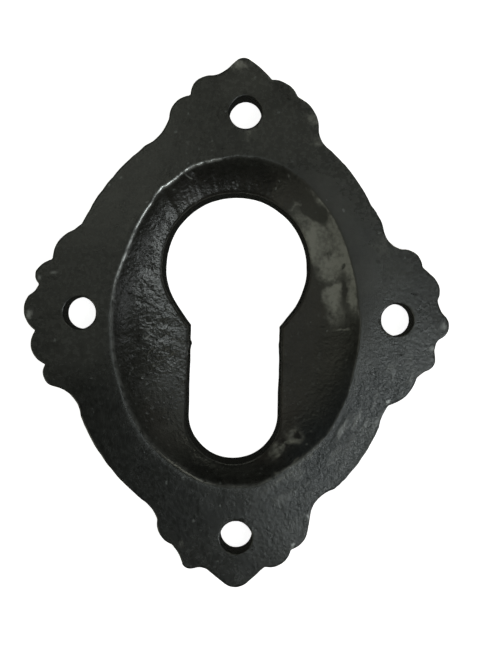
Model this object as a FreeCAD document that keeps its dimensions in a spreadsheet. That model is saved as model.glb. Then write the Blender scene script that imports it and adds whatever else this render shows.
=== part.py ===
import FreeCAD, Part
import math
import os
import re
import Sketcher
from FreeCAD import Placement, Rotation, Vector

# Keyhole escutcheon: one iron casting, a flat plate with a scalloped lozenge outline, an oval
# dish sunk in its face round a double-round cylinder keyhole, and four plain screw holes.
# The back lies flat on the door at height 0, the face looks up along +Z and the round head of
# the keyhole is towards +Y. The origin is on the back, midway between the top and bottom screws.

# Driving sizes in millimetres, angles in degrees
sizes = {
    "plate_thickness": 5.5,
    "land_edge_break": 0.35,
    "joint_past_break": 0.1,
    "keyhole_centre_x": -0.75,
    "keyhole_head_y": 7.25,
    "keyhole_head_radius": 9.05,
    "keyhole_slot_half_width": 5.75,
    "keyhole_neck_angle": 37.1,
    "keyhole_foot_y": -17.1,
    "keyhole_draft": 8.0,
    "keyhole_lip_radius": 0.4,
    "dish_beside_head": 6.55,
    "dish_above_head": 4.65,
    "dish_below_foot": 2.95,
    "dish_cove_depth": 2.5,
    "dish_cove_reach": 2.8,
    "dish_floor_slope": 6.0,
    "dish_past_slot": 0.25,
    "dish_rim_radius": 0.45,
    "screw_hole_diameter": 4.0,
    "top_screw_past_dish": 5.55,
    "right_screw_past_dish": 4.65,
    "bottom_screw_past_dish": 6.45,
    "left_screw_past_dish": 3.75,
    "side_screws_above_centre": 0.65,
}

# What follows from the sizes: the dish surrounds the keyhole, the screws stand outside the dish,
# and the scalloped corners below are drawn round the screws
follows = {
    "keyhole_shoulder_y": "keyhole_head_y - (keyhole_head_radius - keyhole_slot_half_width"
                          " * cos(keyhole_neck_angle * 1 deg)) / sin(keyhole_neck_angle * 1 deg)",
    "dish_top_y": "keyhole_head_y + keyhole_head_radius + dish_above_head",
    "dish_foot_y": "keyhole_foot_y - dish_below_foot",
    "dish_centre_x": "keyhole_centre_x",
    "dish_centre_y": "(dish_top_y + dish_foot_y) / 2",
    "dish_half_width": "keyhole_head_radius + dish_beside_head",
    "dish_half_height": "(dish_top_y - dish_foot_y) / 2",
    "dish_reach": "dish_half_width - keyhole_slot_half_width + dish_past_slot",
    "top_hole_x": "0",
    "top_hole_y": "dish_top_y + top_screw_past_dish",
    "right_hole_x": "dish_centre_x + dish_half_width + right_screw_past_dish",
    "right_hole_y": "dish_centre_y + side_screws_above_centre",
    "bottom_hole_x": "0",
    "bottom_hole_y": "dish_foot_y - bottom_screw_past_dish",
    "left_hole_x": "dish_centre_x - dish_half_width - left_screw_past_dish",
    "left_hole_y": "dish_centre_y + side_screws_above_centre",
    "outline_joint_radius": "land_edge_break + joint_past_break",
}

# The scalloped corners, clockwise. Each row is the point where an arc of the outline starts,
# from the centre of that corner's screw hole, and how far the arc rises over its chord:
# above 0 it swells outwards, below 0 it is hollow, and 0 is straight. The last row of a corner
# is the long flank that runs on to the next corner.
corners = {
    "top": [
        (-12.3, -4.3, -0.47),
        (-9.5, -0.9, 0.78),
        (-6.9, 2.0, 0.86),
        (-4.2, 4.5, -0.18),
        (-2.1, 5.6, 0),
        (-1.1, 6.6, 0.26),
        (0.4, 6.6, 0.15),
        (3.2, 4.1, 0.66),
        (6.5, 2.1, 0.75),
        (9.2, -1.9, -0.32),
        (10.6, -4.4, 0.44),
    ],
    "right": [
        (-3.7, 14.4, 0.21),
        (-1.9, 11.1, -0.47),
        (0.4, 8.8, 0.72),
        (3.0, 6.7, 0),
        (4.1, 5.7, 0.63),
        (5.0, 2.6, -0.16),
        (5.9, 0.7, 0.9),
        (5.3, -2.3, 0),
        (4.9, -2.8, -0.11),
        (4.9, -4.8, 0.36),
        (3.6, -6.4, 0),
        (2.6, -7.2, 0.66),
        (-0.8, -10.7, -0.22),
        (-1.9, -13.4, 0.51),
    ],
    "bottom": [
        (12.2, 6.3, -0.47),
        (9.3, 3.5, 0),
        (8.9, 0.9, 0.43),
        (6.9, -1.4, 0.83),
        (3.7, -3.6, 0),
        (1.5, -5.7, 0.54),
        (-1.5, -5.7, 0),
        (-3.2, -4.3, -0.3),
        (-5.1, -4.0, 0.29),
        (-6.6, -3.5, -0.18),
        (-8.0, -1.0, 0.68),
        (-9.8, 2.0, -0.22),
        (-11.5, 4.3, 0.92),
    ],
    "left": [
        (0.5, -12.9, -0.83),
        (-3.0, -9.2, 0.83),
        (-4.1, -6.5, 1.16),
        (-5.5, -2.3, 0.99),
        (-6.4, 2.1, -0.18),
        (-5.1, 3.5, 0.33),
        (-5.5, 5.3, 0.18),
        (-3.5, 6.6, 0.77),
        (-0.9, 10.3, 0),
        (0.0, 11.1, 0.69),
    ],
}

dish_sections = 7  # ovals that the dish is lofted through, from its rim to inside the keyhole
section_crowding = 1.4  # above 1, the ovals lie closer together near the rim, where it is steep

doc = FreeCAD.newDocument("KeyholeEscutcheon")


def make_sheet():
    """Every driving size in its own cell, under its own name."""
    sheet = doc.addObject("Spreadsheet::Sheet", "Sizes")
    rows = dict(sizes)
    for corner, points in corners.items():
        for number, (x, y, rise) in enumerate(points, 1):
            rows[f"{corner}_arc_{number}_x"] = x
            rows[f"{corner}_arc_{number}_y"] = y
            rows[f"{corner}_arc_{number}_rise"] = rise
    for row, (name, value) in enumerate(rows.items(), 1):
        sheet.set(f"A{row}", name)
        sheet.set(f"B{row}", str(value))
        sheet.setAlias(f"B{row}", name)
    doc.recompute()
    return sheet


sheet = make_sheet()


def formula(text):
    """The text as an expression: each size becomes its cell, and what follows is written out."""
    def written_out(match):
        word = match.group()
        if word in follows:
            return f"({formula(follows[word])})"
        return word if sheet.getCellFromAlias(word) is None else f"Sizes.{word}"
    return re.sub(r"[a-z]\w*", written_out, text)


def size(text):
    """What a size, or a formula of sizes, comes to."""
    return float(sheet.evalExpression(formula(text)))


def add_sketch(body, name, height="0"):
    """A sketch on the body's own XY plane, raised by a formula."""
    plane = next(f for f in body.Origin.OriginFeatures if f.Role == "XY_Plane")
    sketch = body.newObject("Sketcher::SketchObject", name)
    sketch.AttachmentSupport = [(plane, "")]
    sketch.MapMode = "FlatFace"
    if height != "0":
        sketch.setExpression(".AttachmentOffset.Base.z", formula(height))
    return sketch


def constrain(sketch, constraints):
    """Adds (constraint, name, formula) rows at once and ties the named ones to the sheet."""
    first = sketch.ConstraintCount
    sketch.addConstraint([constraint for constraint, _, _ in constraints])
    for index, (_, name, text) in enumerate(constraints, first):
        if name:
            sketch.renameConstraint(index, name)
            sketch.setExpression(f"Constraints.{name}", formula(text))


def free(kind, *places):
    """A constraint with no size of its own."""
    return Sketcher.Constraint(kind, *places), None, None


def sized(name, text, kind, *places):
    """A constraint whose size is a formula."""
    return Sketcher.Constraint(kind, *places, size(text)), name, text


def at_point(name, geometry, position, x, y):
    """The two distances that tie a point to its coordinates."""
    return [
        sized(f"{name}_x", x, "DistanceX", -1, 1, geometry, position),
        sized(f"{name}_y", y, "DistanceY", -1, 1, geometry, position),
    ]


def outline_joints():
    """The joints of the outline, clockwise: name, formulas of x, y and rise, and their values."""
    joints = []
    for corner, points in corners.items():
        for number in range(1, len(points) + 1):
            arc = f"{corner}_arc_{number}"
            x = f"{corner}_hole_x + {arc}_x"
            y = f"{corner}_hole_y + {arc}_y"
            joints.append(
                {
                    "name": arc,
                    "x": x,
                    "y": y,
                    "point": Vector(size(x), size(y), 0),
                    "rise": size(f"{arc}_rise"),
                }
            )
    return joints


def arc_between(start, end):
    """The line or arc from one joint to the next. Arcs run counter-clockwise about +Z, so one
    that swells outwards starts at its far joint."""
    a, b, rise = start["point"], end["point"], start["rise"]
    if rise == 0:
        return Part.LineSegment(a, b)
    half = a.distanceToPoint(b) / 2
    radius = (half**2 + rise**2) / (2 * abs(rise))
    outwards = Vector(a.y - b.y, b.x - a.x, 0).normalize()
    centre = (a + b) * 0.5 + outwards * (rise - math.copysign(radius, rise))
    first, last = (b, a) if rise > 0 else (a, b)
    begin = math.atan2(first.y - centre.y, first.x - centre.x)
    finish = math.atan2(last.y - centre.y, last.x - centre.x)
    if finish < begin:
        finish += 2 * math.pi
    return Part.ArcOfCircle(Part.Circle(centre, Vector(0, 0, 1), radius), begin, finish)


def ends_of(joint):
    """Which end of the joint's own arc is at the joint, and which is the other."""
    return (2, 1) if joint["rise"] > 0 else (1, 2)


def draw_outline(body):
    """The scalloped outline: arcs joined end to end, each tied to its place and its rise."""
    sketch = add_sketch(body, "Outline")
    joints = outline_joints()
    afters = joints[1:] + joints[:1]
    sketch.addGeometry([arc_between(a, b) for a, b in zip(joints, afters)], False)
    ends = [ends_of(joint) for joint in joints]
    rows = []
    for i, (joint, after) in enumerate(zip(joints, afters)):
        name = joint["name"]
        before = i - 1 if i else len(joints) - 1
        rows.append(free("Coincident", before, ends[before][1], i, ends[i][0]))
        rows += at_point(name, i, ends[i][0], joint["x"], joint["y"])
        if joint["rise"]:
            chord = (f"(({after['x']}) - ({joint['x']}))^2"
                     f" + (({after['y']}) - ({joint['y']}))^2")
            radius = f"(({chord}) / 4 + {name}_rise^2) / (2 * abs({name}_rise))"
            rows.append(sized(f"{name}_radius", radius, "Radius", i))
    constrain(sketch, rows)
    return sketch


def draw_screw_holes(body):
    """One circle at each corner."""
    sketch = add_sketch(body, "ScrewHoles")
    radius = size("screw_hole_diameter") / 2
    rows = []
    for index, corner in enumerate(corners):
        x, y = f"{corner}_hole_x", f"{corner}_hole_y"
        circle = Part.Circle(Vector(size(x), size(y), 0), Vector(0, 0, 1), radius)
        sketch.addGeometry(circle, False)
        rows += at_point(corner, index, 3, x, y)
        rows.append(sized(f"{corner}_across", "screw_hole_diameter", "Diameter", index))
    constrain(sketch, rows)
    return sketch


def dish_drop(inset):
    """Depth of the dish at an inset from its rim: a cove that dies away, and a steady fall."""
    return (f"dish_cove_depth * (1 - exp(-({inset}) / dish_cove_reach))"
            f" + ({inset}) * tan(dish_floor_slope * 1 deg)")


def draw_dish_section(body, number):
    """One oval of the dish, at its own depth."""
    share = round((number / (dish_sections - 1)) ** section_crowding, 4)
    inset = f"{share} * dish_reach"
    sketch = add_sketch(body, f"DishSection{number}", f"plate_thickness - ({dish_drop(inset)})")
    x, y = size("dish_centre_x"), size("dish_centre_y")
    half_width = size(f"dish_half_width - {inset}")
    half_height = size(f"dish_half_height - {inset}")
    centre = Vector(x, y, 0)
    tip, side = Vector(x, y + half_height, 0), Vector(x + half_width, y, 0)
    sketch.addGeometry(Part.Ellipse(tip, side, centre), False)
    sketch.exposeInternalGeometry(0)
    # the exposed long axis is line 1 and the short axis is line 2
    long_ends = (2, 1) if sketch.Geometry[1].StartPoint.y > y else (1, 2)
    short_ends = (2, 1) if sketch.Geometry[2].StartPoint.x > x else (1, 2)
    rows = at_point("centre", 0, 3, "dish_centre_x", "dish_centre_y")
    rows += [
        free("Vertical", 1),
        sized("tall", f"2 * (dish_half_height - {inset})",
              "DistanceY", 1, long_ends[0], 1, long_ends[1]),
        sized("wide", f"2 * (dish_half_width - {inset})",
              "DistanceX", 2, short_ends[0], 2, short_ends[1]),
    ]
    constrain(sketch, rows)
    return sketch


def draw_keyhole(body):
    """The cylinder keyhole as it is on the back: round head, neck lines and round-ended slot."""
    sketch = add_sketch(body, "Keyhole")
    middle, head_y = size("keyhole_centre_x"), size("keyhole_head_y")
    radius, half = size("keyhole_head_radius"), size("keyhole_slot_half_width")
    shoulder, foot = size("keyhole_shoulder_y"), size("keyhole_foot_y") + half
    neck = math.radians(size("keyhole_neck_angle"))
    up = Vector(0, 0, 1)
    # the neck lines run from the shoulders to where they touch the head
    touch_left = Vector(middle - radius * math.cos(neck), head_y - radius * math.sin(neck), 0)
    touch_right = Vector(middle + radius * math.cos(neck), touch_left.y, 0)
    head = Part.ArcOfCircle(Part.Circle(Vector(middle, head_y, 0), up, radius),
                            -neck, math.pi + neck)
    bottom = Part.ArcOfCircle(Part.Circle(Vector(middle, foot, 0), up, half), math.pi, 2 * math.pi)
    left_top, right_top = Vector(middle - half, shoulder, 0), Vector(middle + half, shoulder, 0)
    left_end, right_end = Vector(middle - half, foot, 0), Vector(middle + half, foot, 0)
    sketch.addGeometry(
        [
            head,
            Part.LineSegment(touch_left, left_top),
            Part.LineSegment(left_top, left_end),
            bottom,
            Part.LineSegment(right_end, right_top),
            Part.LineSegment(right_top, touch_right),
        ],
        False,
    )
    rows = [
        free("Tangent", 0, 2, 1, 1),
        free("Coincident", 1, 2, 2, 1),
        free("Tangent", 2, 2, 3, 1),
        free("Tangent", 3, 2, 4, 1),
        free("Coincident", 4, 2, 5, 1),
        free("Tangent", 5, 2, 0, 1),
        free("Vertical", 2),
        free("Horizontal", 2, 1, 4, 2),
        sized("head_radius", "keyhole_head_radius", "Radius", 0),
    ]
    rows += at_point("head", 0, 3, "keyhole_centre_x", "keyhole_head_y")
    rows += at_point("shoulder", 2, 1, "keyhole_centre_x - keyhole_slot_half_width",
                     "keyhole_shoulder_y")
    rows += at_point("bottom", 3, 3, "keyhole_centre_x",
                     "keyhole_foot_y + keyhole_slot_half_width")
    constrain(sketch, rows)
    return sketch


def checked_cut(body, feature, before):
    """The cut has to take material away, or it points the wrong way."""
    doc.recompute()
    if not body.Shape.Volume < before - 1.0:
        raise RuntimeError(f"{feature.Name} cuts nothing")


def work_edges(body, base, kind, name, property_name, text, wanted):
    """Rounds or chamfers the edges that pass the test, by a size of the sheet."""
    edges = [f"Edge{number}" for number, edge in enumerate(base.Shape.Edges, 1) if wanted(edge)]
    feature = body.newObject(f"PartDesign::{kind}", name)
    feature.Base = (base, edges)
    feature.setExpression(property_name, formula(text))
    doc.recompute()
    return feature


def round_edges(body, base, name, radius, wanted):
    return work_edges(body, base, "Fillet", name, "Radius", radius, wanted)


def is_corner(edge):
    """An upright edge of the outline, where two of its arcs meet."""
    return edge.BoundBox.ZLength > size("plate_thickness") / 2


def is_on_face(edge):
    height = size("plate_thickness")
    return edge.Length > 1e-4 and all(abs(p.z - height) < 1e-4 for p in edge.discretize(5))


def from_rim(p):
    """How far out a point is from the dish's centre: 1 on the oval of its rim."""
    across = (p.x - size("dish_centre_x")) / size("dish_half_width")
    along = (p.y - size("dish_centre_y")) / size("dish_half_height")
    return math.hypot(across, along)


def is_rim(edge):
    """The oval edge between the dish and the land."""
    return is_on_face(edge) and all(abs(from_rim(p) - 1) < 0.002 for p in edge.discretize(5))


def is_lip(edge):
    """An edge between the dish and the keyhole's wall."""
    if edge.Length < 1e-3:
        return False
    low, high = 0.2 * size("plate_thickness"), 0.9 * size("plate_thickness")
    return all(from_rim(p) < 0.98 and low < p.z < high for p in edge.discretize(5))


def build_plate():
    body = doc.addObject("PartDesign::Body", "EscutcheonPlate")
    body.Label = "escutcheon_plate"
    body.Placement = Placement(Vector(0, 0, 0), Rotation())

    pad = body.newObject("PartDesign::Pad", "Plate")
    pad.Profile = draw_outline(body)
    pad.setExpression("Length", formula("plate_thickness"))
    doc.recompute()
    joints = round_edges(body, pad, "OutlineJoints", "outline_joint_radius", is_corner)
    work_edges(body, joints, "Chamfer", "LandEdge", "Size", "land_edge_break", is_on_face)

    before = body.Shape.Volume
    sections = [draw_dish_section(body, n) for n in range(dish_sections)]
    dish = body.newObject("PartDesign::SubtractiveLoft", "Dish")
    dish.Profile = sections[0]
    dish.Sections = sections[1:]
    dish.Ruled = False
    dish.Closed = False
    checked_cut(body, dish, before)

    before = body.Shape.Volume
    keyhole = body.newObject("PartDesign::Pocket", "KeyholeCut")
    keyhole.Profile = draw_keyhole(body)
    keyhole.Type = "Length"
    keyhole.Reversed = True
    keyhole.setExpression("Length", formula("plate_thickness"))
    keyhole.setExpression("TaperAngle", formula("keyhole_draft"))
    checked_cut(body, keyhole, before)
    round_edges(body, keyhole, "KeyholeLip", "keyhole_lip_radius", is_lip)

    before = body.Shape.Volume
    holes = body.newObject("PartDesign::Pocket", "ScrewHoleCut")
    holes.Profile = draw_screw_holes(body)
    holes.Type = "ThroughAll"
    holes.Reversed = True
    checked_cut(body, holes, before)
    round_edges(body, holes, "DishRim", "dish_rim_radius", is_rim)
    return body


def check_document():
    """No object may be left failed."""
    for obj in doc.Objects:
        if "Invalid" in obj.State or "Error" in obj.State:
            raise RuntimeError(f"{obj.Name} failed: {obj.State}")


def write_parts(bodies):
    for body in bodies:
        if body.Shape.isNull() or not body.Shape.isValid():
            raise RuntimeError(f"{body.Label} has no valid shape")
    os.makedirs("parts", exist_ok=True)
    for body in bodies:
        body.Shape.exportStep(f"parts/{body.Label}.step")
        box = body.Shape.BoundBox
        print(body.Label, f"{box.XLength:.2f} x {box.YLength:.2f} x {box.ZLength:.2f} mm,",
              f"{body.Shape.Volume:.0f} mm3")


plate = build_plate()
check_document()
write_parts([plate])
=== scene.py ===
import math

import bpy
import numpy as np
from mathutils import Matrix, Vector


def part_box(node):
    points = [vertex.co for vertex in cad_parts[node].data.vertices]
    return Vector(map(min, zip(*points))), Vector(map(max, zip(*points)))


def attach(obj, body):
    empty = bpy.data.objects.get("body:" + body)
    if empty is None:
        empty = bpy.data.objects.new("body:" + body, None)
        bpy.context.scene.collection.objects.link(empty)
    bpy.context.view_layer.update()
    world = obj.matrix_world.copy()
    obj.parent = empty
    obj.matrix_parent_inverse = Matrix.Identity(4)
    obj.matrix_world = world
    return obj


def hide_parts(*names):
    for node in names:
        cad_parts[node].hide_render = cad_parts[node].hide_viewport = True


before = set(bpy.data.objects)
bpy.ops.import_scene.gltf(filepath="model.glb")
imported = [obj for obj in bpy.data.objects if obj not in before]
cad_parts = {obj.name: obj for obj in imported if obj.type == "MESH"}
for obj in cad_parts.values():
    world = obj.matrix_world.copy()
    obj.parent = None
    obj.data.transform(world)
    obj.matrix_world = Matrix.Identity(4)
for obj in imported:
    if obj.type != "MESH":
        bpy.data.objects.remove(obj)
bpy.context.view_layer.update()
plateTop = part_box("escutcheon_plate")[1].z
mm = 0.001  # shapes are worked out in millimetres and scaled once, when they become meshes

# The casting. Sizes in millimetres, angles in degrees.
plate = {
    "thickness": plateTop / mm,
    "centre": (-0.75, 0.45),       # middle of the dish; every ray of the grid starts here
    "dishHalfAxes": (15.6, 20.5),
    "coveDepth": 2.5,              # how deep the cove would go by itself
    "coveReach": 2.8,
    "floorSlope": 6.0,
    "headY": 7.25,
    "headRadius": 9.05,
    "slotHalfWidth": 5.75,
    "neckAngle": 37.1,
    "footY": -17.1,
    "draft": 8.0,
    "lipRound": 0.4,
    "lipHeightGuess": 2.5,         # where the search for the keyhole's lip starts
    "landEdgeRound": 0.2,
    "backEdgeRound": 0.15,
    "jointSoftness": 0.11,         # along the outline, where two arcs meet
    "normalSoftness": 0.15,        # the same for the directions square to it
    "raySoftness": 1.6,            # and for the turns of the grid's rays
    "sharpFrom": 50,               # edges that turn by more than this are shaded sharp
}

# How finely the skin is divided: columns round it, and rows of points across each stretch, with
# the two that it shares with its neighbours counted in.
fineness = {
    "columns": 780,
    "backEdge": 3,
    "wall": 6,
    "lip": 7,
    "dish": 39,
    "rim": 22,
    "rimBand": 1.0,                # millimetres to either side of the rim
    "rimCrowding": 2.2,            # how much closer the rows are in the middle of the band
    "land": 24,
    "landEdge": 6,
    "side": 5,
    "back": 7,
    "arc": 60,                     # points on each arc of the outline
    "outline": 8192,               # points on the outline while its joints are softened
}

# The rim of the dish, hand-finished and worn, turn by turn from +X: (degrees, softness of its
# edge, how bright it is worn and painted highlit, how far inside the oval it lies).
rimColumns = {"softness": 1, "wornAndHighlit": 2, "inside": 3}
rim = [
    (0, 0.07, 0.05, -0.10), (10, 0.07, 0.0, 0.14), (30, 0.07, 0.0, 0.12), (40, 0.07, 0.0, 0.0),
    (50, 0.09, 0.0, -0.10), (60, 0.10, 0.0, -0.08), (75, 0.09, 0.0, -0.20), (90, 0.09, 0.08, 0.02),
    (98, 0.08, 0.55, 0.08), (105, 0.08, 0.90, 0.10), (120, 0.09, 1.00, 0.10), (128, 0.08, 0.70, 0.30),
    (135, 0.09, 0.48, 0.46), (150, 0.12, 0.48, 0.60), (165, 0.11, 0.40, 0.24), (180, 0.14, 0.16, 0.22),
    (195, 0.13, 0.16, 0.34), (210, 0.13, 0.14, 0.32), (225, 0.16, 0.16, 0.12), (240, 0.20, 0.07, 0.20),
    (250, 0.26, 0.09, 0.36), (260, 0.14, 0.19, -0.02), (270, 0.16, 0.10, 0.0), (280, 0.13, 0.12, -0.12),
    (290, 0.10, 0.24, 0.22), (300, 0.10, 0.24, 0.08), (310, 0.08, 0.16, -0.26), (320, 0.08, 0.08, -0.20),
    (330, 0.08, 0.05, -0.10), (340, 0.07, 0.05, 0.05), (350, 0.07, 0.05, 0.04), (360, 0.07, 0.05, -0.10),
]

# The scalloped corners, clockwise, as (x, y) from the screw hole and the rise of the arc that
# starts there: above 0 it swells, below 0 it is hollow, 0 is straight.
screwHoles = {"top": (0.0, 26.5), "right": (19.5, 1.1), "bottom": (0.0, -26.5), "left": (-20.1, 1.1)}
scallops = {
    "top": [
        (-12.3, -4.3, -0.47), (-9.5, -0.9, 0.78), (-6.9, 2.0, 0.86), (-4.2, 4.5, -0.18),
        (-2.1, 5.6, 0), (-1.1, 6.6, 0.26), (0.4, 6.6, 0.15), (3.2, 4.1, 0.66),
        (6.5, 2.1, 0.75), (9.2, -1.9, -0.32), (10.6, -4.4, 0.44),
    ],
    "right": [
        (-3.7, 14.4, 0.21), (-1.9, 11.1, -0.47), (0.4, 8.8, 0.72), (3.0, 6.7, 0),
        (4.1, 5.7, 0.63), (5.0, 2.6, -0.16), (5.9, 0.7, 0.9), (5.3, -2.3, 0),
        (4.9, -2.8, -0.11), (4.9, -4.8, 0.36), (3.6, -6.4, 0), (2.6, -7.2, 0.66),
        (-0.8, -10.7, -0.22), (-1.9, -13.4, 0.51),
    ],
    "bottom": [
        (12.2, 6.3, -0.47), (9.3, 3.5, 0), (8.9, 0.9, 0.43), (6.9, -1.4, 0.83),
        (3.7, -3.6, 0), (1.5, -5.7, 0.54), (-1.5, -5.7, 0), (-3.2, -4.3, -0.3),
        (-5.1, -4.0, 0.29), (-6.6, -3.5, -0.18), (-8.0, -1.0, 0.68), (-9.8, 2.0, -0.22),
        (-11.5, 4.3, 0.92),
    ],
    "left": [
        (0.5, -12.9, -0.83), (-3.0, -9.2, 0.83), (-4.1, -6.5, 1.16), (-5.5, -2.3, 0.99),
        (-6.4, 2.1, -0.18), (-5.1, 3.5, 0.33), (-5.5, 5.3, 0.18), (-3.5, 6.6, 0.77),
        (-0.9, 10.3, 0), (0.0, 11.1, 0.69),
    ],
}
centre = np.array(plate["centre"])


# The whole numbers that scramble the corners of the noise's lattice.
lattice = {
    "axisPrimes": (374761393, 668265263, 2246822519),
    "seedPrime": 3266489917,
    "mixingPrime": 1274126177,
    "shift": 500.0,                # keeps the corners' numbers above 0
}


# Value noise: a random height at each corner of a cubic lattice, blended between the eight
# corners round a point by t * t * (3 - 2t). It runs from -1 to 1.
def valueNoise(points, cellSize, seed):
    scaled = points / cellSize + lattice["shift"]
    base = np.floor(scaled).astype(np.int64)
    blend = scaled - base
    blend = blend * blend * (3 - 2 * blend)
    highest = 0xFFFF
    total = np.zeros(points.shape[:-1])
    for corner in np.ndindex(2, 2, 2):
        mixed = ((base + corner) * lattice["axisPrimes"]).sum(-1) + seed * lattice["seedPrime"]
        mixed = (mixed ^ (mixed >> 13)) * lattice["mixingPrime"]
        height = ((mixed ^ (mixed >> 16)) & highest) / (highest / 2) - 1
        total += height * np.where(corner, blend, 1 - blend).prod(-1)
    return total


# Octaves of value noise, each at half the size and half the height of the one before.
def roughness(points, cellSize, octaves, seed):
    return sum(valueNoise(points, cellSize / 2**k, seed + k) / 2**k for k in range(octaves))


# A smooth rise from 0 at the first edge to 1 at the second: t * t * (3 - 2t).
def ramp(value, low, high):
    t = np.clip((value - low) / (high - low), 0, 1)
    return t * t * (3 - 2 * t)


# A closed curve softened by a Gaussian of that width along its length: each harmonic f of the
# curve, taken as x + iy, is scaled by exp(-2 (pi f width)^2).
def softenClosed(values, length, width):
    harmonics = np.fft.fftfreq(len(values), d=length / len(values))
    softened = np.fft.ifft(np.fft.fft(values) * np.exp(-2 * (math.pi * harmonics * width) ** 2))
    return softened if np.iscomplexobj(values) else softened.real


# The scalloped outline, counter-clockwise. Each arc stands over its chord by
# sqrt(R^2 - (t h)^2) - (R - rise), where h is half the chord, t runs from -1 to 1 along it and
# R = (h^2 + rise^2) / (2 rise). Then even spacing, softened joints, and the inward normals.
def scallopedOutline():
    joints = np.array([
        (screwHoles[corner][0] + x, screwHoles[corner][1] + y, rise)
        for corner, arcs in scallops.items() for x, y, rise in arcs
    ])
    start, end = joints[:, None, :2], np.roll(joints, -1, axis=0)[:, None, :2]
    rise = joints[:, None, 2]
    chord = end - start
    half = np.linalg.norm(chord, axis=-1) / 2
    tall = np.maximum(np.abs(rise), 1e-4)  # a straight piece is an arc that is all but flat
    radius = (half**2 + tall**2) / (2 * tall)
    t = np.linspace(-1, 1, fineness["arc"], endpoint=False)[None, :]
    stand = np.sign(rise) * (np.sqrt(radius**2 - (t * half) ** 2) - (radius - tall))
    outwards = np.stack([-chord[..., 1], chord[..., 0]], -1) / (2 * half[..., None])
    line = start + chord * (t[..., None] + 1) / 2 + outwards * stand[..., None]
    line = line.reshape(-1, 2)[::-1]
    line = line[:, 0] + 1j * line[:, 1]

    def evenly(curve, samples):
        closed = np.append(curve, curve[0])
        run = np.concatenate([[0], np.cumsum(np.abs(np.diff(closed)))])
        places = np.linspace(0, run[-1], samples, endpoint=False)
        return np.interp(places, run, closed.real) + 1j * np.interp(places, run, closed.imag), run[-1]

    line, length = evenly(line, fineness["outline"])
    line = softenClosed(line, length, plate["jointSoftness"])
    line, length = evenly(line, fineness["columns"])
    ahead = softenClosed(np.roll(line, -1) - np.roll(line, 1), length, plate["normalSoftness"])
    inwards = 1j * ahead / np.abs(ahead)
    return line, inwards, length


# Reach of the keyhole from the dish's middle along a ray, with the whole outline pushed out by
# an offset: the far root of the head's circle, the neck's tangent line, the slot's straight
# side, or the far root of the round foot.
def keyholeReach(angle, offset):
    headUp = plate["headY"] - centre[1]
    footUp = plate["footY"] + plate["slotHalfWidth"] - centre[1]
    neck = math.radians(plate["neckAngle"])
    head, half = plate["headRadius"] + offset, plate["slotHalfWidth"] + offset
    across, up = np.abs(np.cos(angle)) + 1e-9, np.sin(angle)
    headReach = headUp * up + np.sqrt((headUp * up) ** 2 - headUp**2 + head**2)
    neckFall = np.maximum(math.cos(neck) * across - math.sin(neck) * up, 1e-3)
    neckReach = (head - headUp * math.sin(neck)) / neckFall
    sideReach = half / across
    footRoot = np.maximum((footUp * up) ** 2 - footUp**2 + half**2, 0)
    footReach = footUp * up + np.sqrt(footRoot)
    slotReach = np.where(sideReach * up > footUp, sideReach, footReach)
    touch = np.arctan2(headUp - head * math.sin(neck), head * math.cos(neck))
    onHead = np.arctan2(up, across) > touch
    return np.where(onHead, headReach, np.maximum(slotReach, neckReach))


# Reach of the oval that lies the given inset inside the dish's rim: an ellipse whose half axes
# are both shorter by the inset, in polar form.
def ovalReach(angle, inset):
    wide, tall = plate["dishHalfAxes"]
    return 1 / np.hypot(np.cos(angle) / (wide - inset), np.sin(angle) / (tall - inset))


# The inset whose oval passes through a point, by halving the interval that it lies in.
def insetAt(angle, reach, outermost=-12.0, fromMiddle=0.5, halvings=40):
    low = np.full_like(reach, outermost)
    high = np.full_like(reach, plate["dishHalfAxes"][0] - fromMiddle)
    for _ in range(halvings):
        middle = (low + high) / 2
        outside = ovalReach(angle, middle) > reach
        low, high = np.where(outside, middle, low), np.where(outside, high, middle)
    return (low + high) / 2


# Depth of the dish: cove (1 - exp(-u / reach)) + u tan(slope), where u is the inset, rounded at
# the rim by taking softness * ln(1 + exp(inset / softness)) for it.
def dishDepth(inset, softness):
    u = softness * np.logaddexp(0, inset / softness)
    cove = plate["coveDepth"] * (1 - np.exp(-u / plate["coveReach"]))
    return cove + u * math.tan(math.radians(plate["floorSlope"]))


def ringAt(angle, reach, height):
    x = centre[0] + reach * np.cos(angle)
    y = centre[1] + reach * np.sin(angle)
    return np.stack([x, y, np.broadcast_to(height, x.shape)], -1)


# A bell of 1 at an angle, falling off over a width, both in degrees.
def near(angle, middle, width):
    away = (np.degrees(angle) - middle + 180) % 360 - 180
    return np.exp(-((away / width) ** 2))


# How the hand-cut edges stray from true, in millimetres. Wanders and nibbles are noise on a ring,
# as (radius, size, cell size, octaves, seed). The others are bells, as (turn, width, size), with
# turns and widths in degrees round the dish.
straying = {
    "rimWander": (18, 0.045, 2.6, 2, 5),
    "rimNibbles": (18, 0.18, 0.9, 2, 6),
    "rimNibbled": (112, 20),               # only turn and width, of the broken stretch at the top
    "outlineWander": (30, 0.03, 0.9, 2, 8),
    "outlineSwell": (-135, 38, 0.07),
    "keyholeWander": (10, 0.035, 1.8, 3, 11),
    "keyholeTight": (180, 62, -0.11),      # the left side stands a little into the opening
    "keyholeBurrs": ((-152, 3.0, -0.17), (-140, 5.0, -0.05), (-118, 4.0, -0.06), (-28, 4.0, -0.05),
                     (164, 5.0, -0.06), (38, 4.0, -0.04)),
}


# One column of the rim's table at an angle, straight between the turns that it lists.
def rimAt(angle, name):
    table = np.array(rim)
    return np.interp(np.degrees(angle) % 360, table[:, 0], table[:, rimColumns[name]])


def wander(angle, radius, size, cellSize, octaves, seed):
    ring = np.stack([radius * np.cos(angle), radius * np.sin(angle), 0 * angle], -1)
    return size * roughness(ring, cellSize, octaves, seed)


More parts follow.
